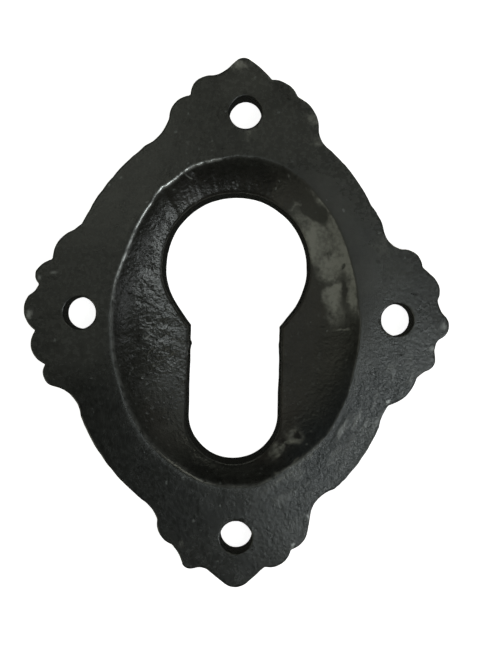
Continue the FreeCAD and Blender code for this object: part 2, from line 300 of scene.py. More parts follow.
def rimStraying(angle):
    nibbled = near(angle, *straying["rimNibbled"]) * wander(angle, *straying["rimNibbles"])
    return wander(angle, *straying["rimWander"]) + nibbled - rimAt(angle, "inside")


def keyholeStraying(angle):
    _, size, _, _, _ = straying["keyholeWander"]
    total = wander(angle, *straying["keyholeWander"]) - size
    for turn, width, size in (straying["keyholeTight"], *straying["keyholeBurrs"]):
        total = total + size * near(angle, turn, width)
    return total


def outlineStraying(angle):
    turn, width, size = straying["outlineSwell"]
    return wander(angle, *straying["outlineWander"]) + size * near(angle, turn, width)


# The whole skin as a grid that closes both ways: columns run round the plate, rows run from the
# keyhole's back edge up its wall, over the lip, across the dish, rim and land, round the outer
# edge, down the side and back across the back.
def plateGrid():
    top = plate["thickness"]
    line, inwards, length = scallopedOutline()
    angle = np.unwrap(np.angle(line - complex(*centre)))
    drift = angle - np.linspace(0, 2 * math.pi, len(angle), endpoint=False)
    angle = softenClosed(drift, length, plate["raySoftness"]) + angle - drift
    line = line - inwards * outlineStraying(np.angle(line - complex(*centre)))

    draft = math.tan(math.radians(plate["draft"]))
    ragged, stray = keyholeStraying(angle), rimStraying(angle)
    softness = rimAt(angle, "softness")

    def dishHeight(inset):
        return top - dishDepth(inset + stray, softness)

    lipHeight = np.full_like(angle, plate["lipHeightGuess"])
    for _ in range(8):  # each turn brings the guess nearer
        reach = keyholeReach(angle, lipHeight * draft + ragged)
        lipHeight = dishHeight(insetAt(angle, reach))
    lipReach = keyholeReach(angle, lipHeight * draft + ragged)
    lip = plate["lipRound"]
    lowHeight = lipHeight - lip
    lowReach = keyholeReach(angle, lowHeight * draft + ragged)
    highReach = lipReach + lip
    highInset = insetAt(angle, highReach)
    highHeight = dishHeight(highInset)

    rows = []
    back = plate["backEdgeRound"]
    for turn in np.linspace(0, math.pi / 2, fineness["backEdge"]):
        reach = keyholeReach(angle, ragged) + back * (1 - math.sin(turn))
        rows.append(ringAt(angle, reach, back * (1 - math.cos(turn))))
    for share in np.linspace(0, 1, fineness["wall"])[1:-1]:
        height = back + (lowHeight - back) * share
        rows.append(ringAt(angle, keyholeReach(angle, height * draft + ragged), height))
    for t in np.linspace(0, 1, fineness["lip"]):  # the lip: a quadratic Bezier from the wall to the dish
        weights = (1 - t) ** 2, 2 * t * (1 - t), t**2
        reach = weights[0] * lowReach + weights[1] * lipReach + weights[2] * highReach
        height = weights[0] * lowHeight + weights[1] * lipHeight + weights[2] * highHeight
        rows.append(ringAt(angle, reach, height))
    band, crowding = fineness["rimBand"], fineness["rimCrowding"]
    for share in np.linspace(0, 1, fineness["dish"])[1:]:
        inset = highInset + (band - stray - highInset) * share
        rows.append(ringAt(angle, ovalReach(angle, inset), dishHeight(inset)))
    for step in np.linspace(crowding, -crowding, fineness["rim"])[1:]:  # closest at the rim itself
        inset = band * math.sinh(step) / math.sinh(crowding) - stray
        rows.append(ringAt(angle, ovalReach(angle, inset), dishHeight(inset)))

    edge = plate["landEdgeRound"]

    def outlineRing(inset, height):
        moved = line + inwards * inset
        return np.stack([moved.real, moved.imag, np.full(len(line), height)], -1)

    rimRing, landRing = rows[-1], outlineRing(edge, top)
    for turn in np.linspace(0, math.pi, fineness["land"])[1:-1]:  # closer at both ends
        rows.append(rimRing + (landRing - rimRing) * (1 - math.cos(turn)) / 2)
    for turn in np.linspace(0, math.pi / 2, fineness["landEdge"]):
        rows.append(outlineRing(edge * (1 - math.sin(turn)), top - edge * (1 - math.cos(turn))))
    for height in np.linspace(top - edge, back, fineness["side"])[1:-1]:
        rows.append(outlineRing(0, height))
    for turn in np.linspace(math.pi / 2, 0, fineness["backEdge"]):
        rows.append(outlineRing(back * (1 - math.sin(turn)), back * (1 - math.cos(turn))))
    outer, inner = rows[-1], rows[0]
    for share in np.linspace(0, 1, fineness["back"])[1:-1]:
        rows.append(outer + (inner - outer) * share)
    return np.stack(rows)


# Outward normals of the closed grid, from the cross product of the differences to the
# neighbours along both directions.
def gridNormals(grid):
    alongColumns = np.roll(grid, -1, axis=1) - np.roll(grid, 1, axis=1)
    alongRows = np.roll(grid, -1, axis=0) - np.roll(grid, 1, axis=0)
    normals = np.cross(alongRows, alongColumns)
    return normals / np.maximum(np.linalg.norm(normals, axis=-1, keepdims=True), 1e-9)


# Marks of wear and painted light on the face, each as (x, y, half length, half width, turn,
# strength): millimetres, and degrees from +X. A strength below 0 takes away from the marks before it.
wearAndPaintedLight = {
    "paleAndLit": [                                    # dry, pale skin on the dish's upper right wall, and painted light on the dish
        (7.9, 11.0, 3.6, 1.2, 111, 0.58), (10.5, 10.2, 4.6, 1.8, 110, 0.48),
        (11.7, 12.6, 5.2, 0.8, 114, 0.52), (11.1, 7.4, 1.7, 1.2, 60, 0.55),
        (13.4, 7.6, 2.6, 0.8, 108, 0.80), (11.5, 4.2, 1.9, 1.2, 100, 0.90),
        (14.1, 3.8, 2.3, 0.7, 97, 0.90), (12.1, 1.7, 1.6, 1.4, 90, 0.32),
        (9.0, 14.4, 2.8, 1.9, 140, 0.15), (8.8, 14.7, 2.2, 0.9, 140, -0.85),
        (12.7, 7.7, 0.5, 0.18, 80, -0.7), (13.0, 4.8, 0.95, 0.26, 103, -1.0),
        (8.7, 5.5, 2.4, 0.8, 100, -0.5), (11.0, 9.0, 0.5, 0.4, 0, -0.4),
        (11.2, 5.7, 0.9, 0.3, 20, -0.5), (6.7, 15.0, 0.8, 0.15, 25, 0.5),
        (12.8, -0.2, 0.8, 0.15, 5, 0.6), (8.7, 16.6, 0.4, 0.25, 40, 0.3),
        (9.5, 15.9, 0.35, 0.25, 0, 0.3), (4.8, -15.4, 1.0, 0.6, 50, 0.70),
        (6.2, -14.4, 0.5, 0.35, 0, 0.4), (7.1, -13.7, 1.15, 1.05, 0, 0.45),
        (7.2, -13.5, 0.55, 0.5, 0, -0.6), (5.2, -18.4, 0.5, 0.35, 0, 0.4),
        (7.0, -17.0, 1.5, 0.16, 38, 0.45), (-9.2, -14.4, 2.8, 1.6, -50, 0.07),
        (9.6, 11.0, 3.0, 1.1, 112, 0.20),
    ],
    "bleachedAndLit": [                                # the same pale skin on the land, and painted sheen where the land is brighter
        (-0.6, 32.5, 1.5, 0.55, 3, 0.75), (0.6, 24.2, 1.3, 0.6, 60, 0.25),
        (8.5, 25.9, 0.5, 0.7, 60, 0.30), (9.1, 23.3, 0.6, 0.4, -30, 0.35),
        (17.4, 10.5, 1.4, 1.0, 60, 0.16), (14.5, -12.0, 9.0, 4.2, 46, 0.02),
        (0.0, 30.0, 3.5, 2.4, 0, 0.13), (5.0, 24.0, 6.0, 4.0, 0, 0.09),
        (-20.5, -3.0, 4.0, 4.5, 0, 0.06), (-6.7, -27.6, 0.25, 0.25, 0, 0.4),
        (15.4, -14.6, 5.5, 1.7, 50, 0.07), (13.0, 16.5, 6.0, 4.0, -50, 0.07),
        (18.0, 7.0, 4.0, 3.5, 0, 0.08), (5.6, -19.1, 2.0, 0.15, 36, 0.40),
        (9.1, -16.1, 2.4, 0.14, 44, 0.30), (3.4, -20.9, 1.2, 0.15, 25, 0.25),
    ],
    "dry": [                                     # where the dish's skin is dull, pale or not
        (10.6, 8.5, 9.5, 4.8, 112, 1.0), (7.5, 15.5, 4.0, 2.6, 145, 0.8),
        (9.5, -6.0, 9.0, 4.6, 95, 0.6), (-9.5, -11.0, 5.0, 4.0, 110, 0.6),
    ],
    "rubbedAndHighlit": [                                  # small places rubbed to bright iron, and painted glints on the edges
        (18.7, -9.5, 0.35, 0.20, 20, 0.8), (7.0, -27.5, 0.30, 0.20, 30, 0.7),
        (25.3, 0.6, 0.5, 0.3, 90, 0.35), (24.0, -2.5, 0.35, 0.2, 40, 0.4),
        (-23.1, 9.3, 0.4, 0.2, 40, 0.35), (-23.3, 6.3, 0.35, 0.2, 0, 0.4),
        (-25.3, 5.5, 0.3, 0.25, 60, 0.4), (-26.5, 1.0, 0.3, 0.3, 90, 0.4),
        (22.3, -6.0, 0.5, 0.2, 30, 0.4), (-6.9, 18.2, 0.35, 0.12, -20, 0.5),
        (-7.5, 22.2, 0.25, 0.16, 60, 0.4), (-11.5, -1.9, 0.3, 0.2, 40, 0.4),
        (9.1, -23.5, 0.25, 0.25, 0, 0.5), (5.3, 18.9, 0.2, 0.15, 0, 0.3),
        (-6.5, -2.9, 0.7, 0.13, 92, 0.4), (-6.4, -5.2, 0.5, 0.12, 90, 0.3),
        (-6.4, -7.7, 0.6, 0.13, 90, 0.35), (7.1, 2.4, 0.2, 0.13, 50, 0.5),
    ],
    "sootAndShade": [                                   # the blackest stretches of the land: soot, and painted shade
        (-14.5, -15.0, 12.0, 6.0, -52, 1.2), (-5.0, -24.0, 6.0, 5.0, 0, 0.7),
        (-0.3, -22.3, 2.6, 2.4, 0, 0.35), (0.5, -30.0, 4.0, 3.0, 0, 0.5), (23.6, 0.5, 3.0, 4.5, 0, 0.4),
        (19.4, -5.4, 3.4, 2.6, 60, 0.30),
    ],
    "shaded": [                                  # and painted shade on the dish's walls
        (-0.5, 18.0, 7.0, 2.4, 0, 0.72), (0.0, -18.3, 6.0, 1.5, 3, 0.62),
        (-4.5, -18.5, 3.5, 1.0, -25, 0.3), (-7.6, -10.6, 4.5, 2.4, 95, 0.75),
        (8.5, -3.5, 7.5, 4.0, 92, 0.62), (10.6, -10.5, 5.0, 2.6, 68, 0.22),
    ],
    "grainyAndSheen": [                                  # the coarse, glossy land at the lower right, with a painted bluish sheen
        (14.5, -13.0, 13.0, 6.0, 46, 1.0), (5.5, -25.0, 5.5, 5.0, 0, 0.25),
        (20.5, 0.0, 4.0, 7.0, 0, 0.25),
    ],
    "crinkled": [                                # the rough, glossy left of the dish
        (-10.8, 4.0, 10.0, 4.2, 88, 1.0), (-8.2, 13.2, 4.0, 2.4, 45, 0.3),
        (-10.3, -7.0, 7.5, 4.0, 95, 0.6),
    ],
    "rusty": [                                   # browner places in the dish
        (7.5, -2.0, 9.0, 4.0, 90, 0.8), (5.0, -13.0, 5.0, 3.0, 60, 0.8), (0.0, 17.0, 9.0, 2.6, 0, 0.7),
        (7.1, -13.6, 0.9, 0.9, 0, 0.5), (-9.5, -12.5, 3.5, 2.0, -50, 0.5),
    ],
}


# The sum of soft-edged ellipses: strength * exp(-(u^2 + v^2)^2), where u and v are the distances
# along and across the mark over its half sizes.
def spots(x, y, marks):
    total = np.zeros_like(x)
    for markX, markY, halfLength, halfWidth, turn, strength in marks:
        cos, sin = math.cos(math.radians(turn)), math.sin(math.radians(turn))
        along = ((x - markX) * cos + (y - markY) * sin) / halfLength
        across = ((y - markY) * cos - (x - markX) * sin) / halfWidth
        total += strength * np.exp(-((along**2 + across**2) ** 2))
    return np.clip(total, 0, 1)


# The relief of the casting, as heights along the normals, in millimetres. Each kind of relief is
# noise, as (height, cell size, octaves, seed).
casting = {
    "dishSwells": (0.050, 2.8, 2, 21),
    "drySmoothing": 0.5,           # the share of the swells that is gone where the dish is dry
    "dishGrain": (0.026, 0.85, 3, 31),
    "grainShares": (0.3, 0.8),     # of the grain everywhere, and more where the dish is crinkled
    "landSwells": (0.018, 5.5, 2, 24),
    "landGrain": (0.0035, 0.9, 2, 34),
    "wallSwells": (0.035, 1.9, 2, 27),
    "streaks": (0.014, 1.0, 2, 37),
    "streakCells": (0.60, 2.6),    # across and along the rim, on the grainy land
    "streakRadius": 20,
    "streakWearAndGlints": (0.2, 1.1, 0.30),  # from and to which height they are rubbed and painted glinting, and how bright
    "wornCorner": (20.0, -17.0, 9.0, 0.30),   # x, y, radius and depth, here and below
    "crater": (7.1, -13.65, 0.72, 0.13),
    "rimChip": (-6.5, 19.05, 0.42, 0.16),
    "pits": 26,
    "pitSeed": 7,
    "pitInset": (0.8, 5.5),        # smallest and largest, here and below
    "pitRadius": (0.16, 0.38),
    "pitDepth": (0.02, 0.06),
}

# Where one stretch of the skin gives way to the next, as the two ends of a ramp.
zones = {
    "faceUp": (0.1, 0.5),          # upward share of the normal
    "offWall": (0.3, 0.8),
    "intoDish": (-0.1, 0.9),       # millimetres inside the rim
    "offLand": (-0.6, 0.3),
    "pastRim": (-0.04, 0.16),
    "offBack": (0, 0.6),           # millimetres over the back
}

# How ragged the marks' edges are, in millimetres, with a seed for x and one for y.
fraying = {"size": 0.45, "cellSize": 1.3, "octaves": 3, "seeds": (51, 52)}

# The bright line along the rim, worn iron and a painted highlight, in millimetres.
rimLine = {
    "outside": 0.05,
    "width": 0.10,
    "widening": 0.7,               # added for each millimetre of the rim's softness
    "brightness": 0.75,
    "patches": (0.9, 0.5, 2, 55),  # height, cell size, octaves and seed of its noise
    "range": (0.1, 1),
}


# A pit with a raised lip: with q the distance over the radius, depth * (0.45 exp(-9 (q - 1)^2)
# - exp(-(1.9 q)^2)).
def pit(x, y, pitX, pitY, radius, depth):
    q = np.hypot(x - pitX, y - pitY) / radius
    return depth * (0.45 * np.exp(-9 * (q - 1) ** 2) - np.exp(-((1.9 * q) ** 2)))


# A dent: depth * exp(-(distance / radius)^2).
def dent(x, y, dentX, dentY, radius, depth):
    return depth * np.exp(-((x - dentX) ** 2 + (y - dentY) ** 2) / radius**2)


# The grid with the casting's relief, and the masks of the wear and the painted light at its points.
def castSurface(grid):
    x, y, z = grid[..., 0], grid[..., 1], grid[..., 2]
    angle, reach = np.arctan2(y - centre[1], x - centre[0]), np.hypot(x - centre[0], y - centre[1])
    inset = insetAt(angle, reach) + rimStraying(angle)
    normals = gridNormals(grid)
    faceUp = ramp(normals[..., 2], *zones["faceUp"])
    inDish = ramp(inset, *zones["intoDish"]) * faceUp
    onLand = (1 - ramp(inset, *zones["offLand"])) * faceUp
    onWall = 1 - ramp(np.abs(normals[..., 2]), *zones["offWall"])

    def noise(places, height, cellSize, octaves, seed):
        return height * roughness(places, cellSize, octaves, seed)

    size, cellSize, octaves = fraying["size"], fraying["cellSize"], fraying["octaves"]
    seedX, seedY = fraying["seeds"]
    frayedX = x + noise(grid, size, cellSize, octaves, seedX)
    frayedY = y + noise(grid, size, cellSize, octaves, seedY)
    masks = {name: spots(frayedX, frayedY, marks) * faceUp for name, marks in wearAndPaintedLight.items()}
    pastRim = ramp(inset, *zones["pastRim"])
    masks["inDish"] = pastRim * faceUp
    # Pale skin and painted light, on the dish and on the land.
    masks["paleAndLit"] = masks["paleAndLit"] * pastRim + masks.pop("bleachedAndLit")
    # The painted shade of the dish joins the soot of the land.
    masks["sootAndShade"] = masks["sootAndShade"] * (1 - pastRim) + masks.pop("shaded")
    # The rim's bright line: worn iron and a painted highlight.
    width = rimLine["width"] + rimLine["widening"] * rimAt(angle, "softness")
    line = np.exp(-(((inset + rimLine["outside"]) / width) ** 2)) * faceUp
    patches = rimLine["brightness"] + noise(grid, *rimLine["patches"])
    line *= rimAt(angle, "wornAndHighlit") * np.clip(patches, *rimLine["range"])
    masks["rubbedAndHighlit"] = np.clip(masks["rubbedAndHighlit"] + line, 0, 1)

    swells = noise(grid, *casting["dishSwells"]) * (1 - casting["drySmoothing"] * masks["dry"])
    everywhere, crinkled = casting["grainShares"]
    grain = noise(grid, *casting["dishGrain"]) * (everywhere + crinkled * masks["crinkled"])
    height = inDish * (swells + grain) + onWall * noise(grid, *casting["wallSwells"])
    height += onLand * (noise(grid, *casting["landSwells"]) + noise(grid, *casting["landGrain"]))
    across, along = casting["streakCells"]
    brushed = np.stack([inset / across, angle * casting["streakRadius"] / along, 0 * inset], -1)
    tall, cellSize, octaves, seed = casting["streaks"]
    brushed = roughness(brushed, cellSize, octaves, seed)
    height += tall * onLand * masks["grainyAndSheen"] * brushed
    # Streaks on the grainy land, rubbed bright and painted as glints.
    lowest, highest, bright = casting["streakWearAndGlints"]
    masks["rubbedAndHighlit"] += bright * onLand * masks["grainyAndSheen"] ** 2 * ramp(brushed, lowest, highest)
    height -= onLand * dent(x, y, *casting["wornCorner"])
    height -= faceUp * dent(x, y, *casting["rimChip"])
    height += faceUp * pit(x, y, *casting["crater"])
    random = np.random.default_rng(casting["pitSeed"])
    for _ in range(casting["pits"]):
        turn = random.uniform(0, 2 * math.pi)
        far = ovalReach(turn, random.uniform(*casting["pitInset"]))
        place = centre[0] + far * math.cos(turn), centre[1] + far * math.sin(turn)
        radius, depth = random.uniform(*casting["pitRadius"]), random.uniform(*casting["pitDepth"])
        height += inDish * pit(x, y, *place, radius, depth)
    height *= ramp(z, *zones["offBack"])
    return grid + normals * height[..., None], masks


def meshFromGrid(name, grid):
    rowCount, columnCount = grid.shape[:2]
    row, column = np.meshgrid(np.arange(rowCount), np.arange(columnCount), indexing="ij")
    nextRow, nextColumn = (row + 1) % rowCount, (column + 1) % columnCount
    quads = np.stack([
        row * columnCount + column,
        nextRow * columnCount + column,
        nextRow * columnCount + nextColumn,
        row * columnCount + nextColumn,
    ], -1).reshape(-1, 4)
    mesh = bpy.data.meshes.new(name)
    mesh.vertices.add(rowCount * columnCount)
    mesh.vertices.foreach_set("co", (grid * mm).astype(np.float32).ravel())
    mesh.loops.add(quads.size)
    mesh.loops.foreach_set("vertex_index", quads.astype(np.int32).ravel())
    mesh.polygons.add(len(quads))
    mesh.polygons.foreach_set("loop_start", np.arange(0, quads.size, 4, dtype=np.int32))
    mesh.update(calc_edges=True)
    return mesh


def addObject(name, mesh):
    piece = bpy.data.objects.new(name, mesh)
    bpy.context.scene.collection.objects.link(piece)
    return piece


# The drills: a profile of (radius, height) carried round each screw's axis. The radius is
# steady and opens in a quarter round at the face. In millimetres.
drill = {
    "radius": 2.0,
    "flare": 0.2,
    "past": 1.0,                   # how far it stands out of the back and the face
    "levels": (1.5, 3.2),          # heights of the points on its steady stretch
    "flareSteps": 6,
    "segments": 120,
    "raggedness": (0.03, 1.3, 2, 41),  # size, cell size, octaves and seed of its noise
}


def drillGrid(x, y, seed):
    top, flare = plate["thickness"], drill["flare"]
    profile = [(drill["radius"], height) for height in (-drill["past"], *drill["levels"])]
    for turn in np.linspace(0, math.pi / 2, drill["flareSteps"]):
        profile.append((drill["radius"] + flare * (1 - math.cos(turn)),
                        top - flare + flare * math.sin(turn)))
    profile.append((drill["radius"] + flare, top + drill["past"]))
    radius, height = np.array(profile).T
    turn = np.linspace(0, 2 * math.pi, drill["segments"], endpoint=False)
    circle = drill["radius"] * np.stack([np.cos(turn), np.sin(turn), 0 * turn + seed], -1)
    size, cellSize, octaves, firstSeed = drill["raggedness"]
    wobble = size * roughness(circle, cellSize, octaves, firstSeed + seed)
    reach = radius[:, None] + wobble[None, :]
    return np.stack([x + reach * np.cos(turn), y + reach * np.sin(turn),
                     np.broadcast_to(height[:, None], reach.shape)], -1)


# All the drills in one mesh, each a closed tube with flat ends, faces outwards.
def drillMesh():
    points, faces, start = [], [], 0
    for seed, (x, y) in enumerate(screwHoles.values()):
        grid = drillGrid(x, y, seed)
        rowCount, columnCount = grid.shape[:2]
        points.append(grid.reshape(-1, 3))
        column = np.arange(columnCount)
        after = (column + 1) % columnCount
        row = np.arange(rowCount - 1)[:, None] * columnCount + start
        quads = np.stack([row + column, row + after, row + columnCount + after,
                          row + columnCount + column], -1)
        faces += quads.reshape(-1, 4).tolist()
        faces.append((column[::-1] + start).tolist())
        faces.append((column + (rowCount - 1) * columnCount + start).tolist())
        start += rowCount * columnCount
    mesh = bpy.data.meshes.new("drills")
    mesh.from_pydata((np.concatenate(points) * mm).tolist(), [], faces)
    mesh.update()
    return mesh


def drillScrewHoles(piece):
    drills = addObject("drills", drillMesh())
    cut = piece.modifiers.new("screw_holes", "BOOLEAN")
    cut.object = drills
    cut.operation = "DIFFERENCE"
    cut.solver = "EXACT"
    bpy.context.view_layer.update()
    evaluated = piece.evaluated_get(bpy.context.evaluated_depsgraph_get())
    finished = bpy.data.meshes.new_from_object(evaluated)
    piece.modifiers.clear()
    piece.data = finished
    bpy.data.objects.remove(drills)


def buildEscutcheon():
    grid, masks = castSurface(plateGrid())
    mesh = meshFromGrid("cast_escutcheon", grid)
    for name, values in masks.items():
        layer = mesh.attributes.new(name, "FLOAT", "POINT")
        layer.data.foreach_set("value", values.astype(np.float32).ravel())
    piece = addObject("cast_escutcheon", mesh)
    drillScrewHoles(piece)
    piece.data.shade_smooth()
    piece.data.set_sharp_from_angle(angle=math.radians(plate["sharpFrom"]))
    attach(piece, "root")
    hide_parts("escutcheon_plate")
    print("escutcheon:", len(piece.data.vertices), "points,", len(piece.data.polygons), "faces")
    return piece


# Blackened iron: a near-black satin skin, greenish on the land and browner in the dish, duller
# where it is dry, blacker where it is sooty or painted shaded, pale where the black has gone or
# painted lit, with a painted bluish sheen on the grainy land, bright where rubbed or painted
# highlit, with cast grain, light specks and painted glints. A noise is (cells per metre, detail).
# Heights and pushes are in metres. From "shade" on, four numbers take a value from the range of
# the first two to that of the last two.
iron = {
    "land": (0.0195, 0.0200, 0.0180, 1),
    "dish": (0.0205, 0.0205, 0.0180, 1),
    "rusty": (0.0210, 0.0164, 0.0134, 1),
    # the coarse land's colour, tinted blue as a painted sheen
    "grainyAndSheen": (0.0165, 0.0200, 0.0235, 1),
    # the colour of soot and of painted shade
    "sootAndShade": (0.0053, 0.0058, 0.0053, 1),
    # the colour of pale skin and of painted light
    "paleAndLit": (0.205, 0.204, 0.185, 1),
    # the colour of rubbed iron and of painted highlights
    "rubbedAndHighlit": (0.50, 0.505, 0.50, 1),
    "speck": (0.14, 0.148, 0.148, 1),
    "mottle": (520, 5),
    "fineMottle": (2080, 3),
    "noiseEnds": (0.3, 0.7),         # most of a noise lies between these
    "sootAndShadePatches": (0.3, 0.6, 1, 0.85),  # from two ends of the mottle to two shares of the soot and painted shade
    "fineShade": 0.8,                # the fine mottle's share in the shade
    "shade": (0.50, 1.30, 0.56, 1.44),
    "flakes": (-0.22, 0.22),
    "fineFlakes": (-0.20, 0.20),
    "flaking": (0.12, 0.40, 0, 1),
    "palenessAndLight": (0.02, 0.95, 0, 1),
    "specksPushed": 0.0007,
    "speckCells": 620,
    "speckRadius": 0.13,
    "speckless": (0, 1, 0.66, 0.28),   # the share of cells with no speck, by how grainy it is
    "speckStrength": 0.62,
    "glintCells": 1450,
    "glintRadius": 0.34,
    "glintless": 0.72,
    "glintStrength": (0, 1, 0.25, 1),  # by how crinkled the dish is
    "glintPaleness": 0.5,
    "speckCore": 0.45,               # the share of a speck's radius that is full
    "rubbedAndHighlitMetal": 0.8,
    "landRoughness": 0.26,
    "dishRoughness": 0.30,
    "mottledRoughness": (-0.035, 0.05),
    "addedRoughness": {"dry": 0.26, "crinkled": -0.11},
    "sootAndShadeRoughness": -0.04,
    "grain": (2300, 2),
    "fineGrain": (6200, 2),
    "coarseness": (0, 1, 0.15, 0.8),   # by how far into the dish
    "grainyCoarseness": 0.78,
    "grainHeight": 0.00008,
    "fineGrainHeight": 0.00002,
    "glintHeight": 0.00005,
    "glintBump": 0.8,
}


def feed(tree, socket, value):
    if isinstance(value, bpy.types.NodeSocket):
        tree.links.new(value, socket)
    else:
        socket.default_value = value


# One node, with its settings and its inputs, each a value or another node's output.
def addNode(tree, kind, settings, inputs):
    node = tree.nodes.new("ShaderNode" + kind)
    for name, value in settings.items():
        setattr(node, name, value)
    for name, value in inputs.items():
        feed(tree, node.inputs[name], value)
    return node


def noiseAt(tree, place, cells, detail):
    inputs = {"Vector": place, "Scale": cells, "Detail": detail}
    return addNode(tree, "TexNoise", {}, inputs).outputs["Fac"]


def calculate(tree, operation, first, second):
    return addNode(tree, "Math", {"operation": operation}, {0: first, 1: second}).outputs[0]


def plus(tree, first, second):
    return calculate(tree, "ADD", first, second)


def times(tree, first, second):
    return calculate(tree, "MULTIPLY", first, second)


def rescale(tree, value, low, high, newLow, newHigh):
    return addNode(tree, "MapRange", {}, {"Value": value, "From Min": low, "From Max": high,
                                          "To Min": newLow, "To Max": newHigh}).outputs["Result"]


def blendFloats(tree, factor, first, second):
    return addNode(tree, "Mix", {}, {"Factor": factor, "A": first, "B": second}).outputs["Result"]


def blendColours(tree, factor, first, second, blend="MIX"):
    settings = {"data_type": "RGBA", "blend_type": blend}
    return addNode(tree, "Mix", settings, {"Factor": factor, "A": first, "B": second}).outputs["Result"]


# Places pushed aside unevenly, so that what is drawn there isn't round.
def pushedAside(tree, place, cells, reach):
    push = addNode(tree, "TexNoise", {}, {"Vector": place, "Scale": cells}).outputs["Color"]
    inputs = {0: push, "Scale": reach}
    push = addNode(tree, "VectorMath", {"operation": "SCALE"}, inputs).outputs["Vector"]
    inputs = {0: place, 1: push}
    return addNode(tree, "VectorMath", {"operation": "ADD"}, inputs).outputs["Vector"]


# Specks, one to a cell of a Voronoi lattice, kept only in the cells whose random red is above a
# share, and fading out over the radius.
def specksAt(tree, place, cellsPerMetre, share, radius):
    cells = addNode(tree, "TexVoronoi", {}, {"Vector": place, "Scale": cellsPerMetre})
    red = addNode(tree, "SeparateColor", {}, {"Color": cells.outputs["Color"]}).outputs[0]
    kept = calculate(tree, "GREATER_THAN", red, share)
    core = radius * iron["speckCore"]
    return times(tree, rescale(tree, cells.outputs["Distance"], radius, core, 0, 1), kept)


def bump(tree, strength, distance, height, inputs):
    inputs = {"Strength": strength, "Distance": distance, "Height": height, **inputs}
    return addNode(tree, "Bump", {}, inputs).outputs["Normal"]


def blackenedIron():
    material = bpy.data.materials.new("blackened_iron")
    material.use_nodes = True
    tree = material.node_tree
    shader = tree.nodes["Principled BSDF"]
    place = tree.nodes.new("ShaderNodeTexCoord").outputs["Object"]
    mask = {name: addNode(tree, "Attribute", {"attribute_name": name}, {}).outputs["Fac"]
            for name in ("inDish", "paleAndLit", "dry", "rubbedAndHighlit", "sootAndShade", "grainyAndSheen", "crinkled", "rusty")}
    mottle = noiseAt(tree, place, *iron["mottle"])
    fineMottle = noiseAt(tree, place, *iron["fineMottle"])

    def spread(noise, ends):
        return rescale(tree, noise, *iron["noiseEnds"], *ends)

    colour = blendColours(tree, mask["inDish"], iron["land"], iron["dish"])
    colour = blendColours(tree, mask["rusty"], colour, iron["rusty"])
    # Painted bluish sheen on the coarse land at the lower right.
    colour = blendColours(tree, mask["grainyAndSheen"], colour, iron["grainyAndSheen"])
    # Soot, and painted shade on the land and the dish, darken the colour here.
    sootAndShade = times(tree, mask["sootAndShade"], rescale(tree, mottle, *iron["sootAndShadePatches"]))
    colour = blendColours(tree, sootAndShade, colour, iron["sootAndShade"])
    shade = plus(tree, mottle, times(tree, fineMottle, iron["fineShade"]))
    shade = rescale(tree, shade, *iron["shade"])
    colour = blendColours(tree, 1.0, colour, shade, "MULTIPLY")
    flaking = plus(tree, spread(mottle, iron["flakes"]), spread(fineMottle, iron["fineFlakes"]))
    flaking = times(tree, flaking, rescale(tree, mask["paleAndLit"], *iron["flaking"]))
    # Pale skin, and painted light where the face is brighter, lighten the colour here.
    palenessAndLight = rescale(tree, plus(tree, mask["paleAndLit"], flaking), *iron["palenessAndLight"])
    colour = blendColours(tree, palenessAndLight, colour, iron["paleAndLit"])

    uneven = pushedAside(tree, place, iron["glintCells"], iron["specksPushed"])
    share = rescale(tree, mask["grainyAndSheen"], *iron["speckless"])
    speck = specksAt(tree, uneven, iron["speckCells"], share, iron["speckRadius"])
    speck = times(tree, speck, iron["speckStrength"])
    # Glints in the dish: bumps, with painted highlights in the colour.
    glint = specksAt(tree, uneven, iron["glintCells"], iron["glintless"], iron["glintRadius"])
    glint = times(tree, glint, rescale(tree, mask["crinkled"], *iron["glintStrength"]))
    glint = times(tree, glint, mask["inDish"])
    speck = calculate(tree, "MAXIMUM", speck, times(tree, glint, iron["glintPaleness"]))
    colour = blendColours(tree, speck, colour, iron["speck"])
    # Rubbed iron and painted highlights: the rim's line, glints on edges and streaks.
    colour = blendColours(tree, mask["rubbedAndHighlit"], colour, iron["rubbedAndHighlit"])
    feed(tree, shader.inputs["Base Color"], colour)
    feed(tree, shader.inputs["Metallic"], times(tree, mask["rubbedAndHighlit"], iron["rubbedAndHighlitMetal"]))

    gloss = blendFloats(tree, mask["inDish"], iron["landRoughness"], iron["dishRoughness"])
    gloss = plus(tree, gloss, spread(fineMottle, iron["mottledRoughness"]))
    for name, added in iron["addedRoughness"].items():
        gloss = plus(tree, gloss, times(tree, mask[name], added))
    gloss = plus(tree, gloss, times(tree, sootAndShade, iron["sootAndShadeRoughness"]))
    feed(tree, shader.inputs["Roughness"], gloss)

    coarseness = rescale(tree, mask["inDish"], *iron["coarseness"])
    coarseness = plus(tree, coarseness, times(tree, mask["grainyAndSheen"], iron["grainyCoarseness"]))
    grain, fineGrain = noiseAt(tree, place, *iron["grain"]), noiseAt(tree, place, *iron["fineGrain"])
    normal = bump(tree, coarseness, iron["grainHeight"], grain, {})
    normal = bump(tree, coarseness, iron["fineGrainHeight"], fineGrain, {"Normal": normal})
    normal = bump(tree, iron["glintBump"], iron["glintHeight"], glint, {"Normal": normal})
    feed(tree, shader.inputs["Normal"], normal)
    print("material:", len(tree.nodes), "nodes of blackened iron")
    return material


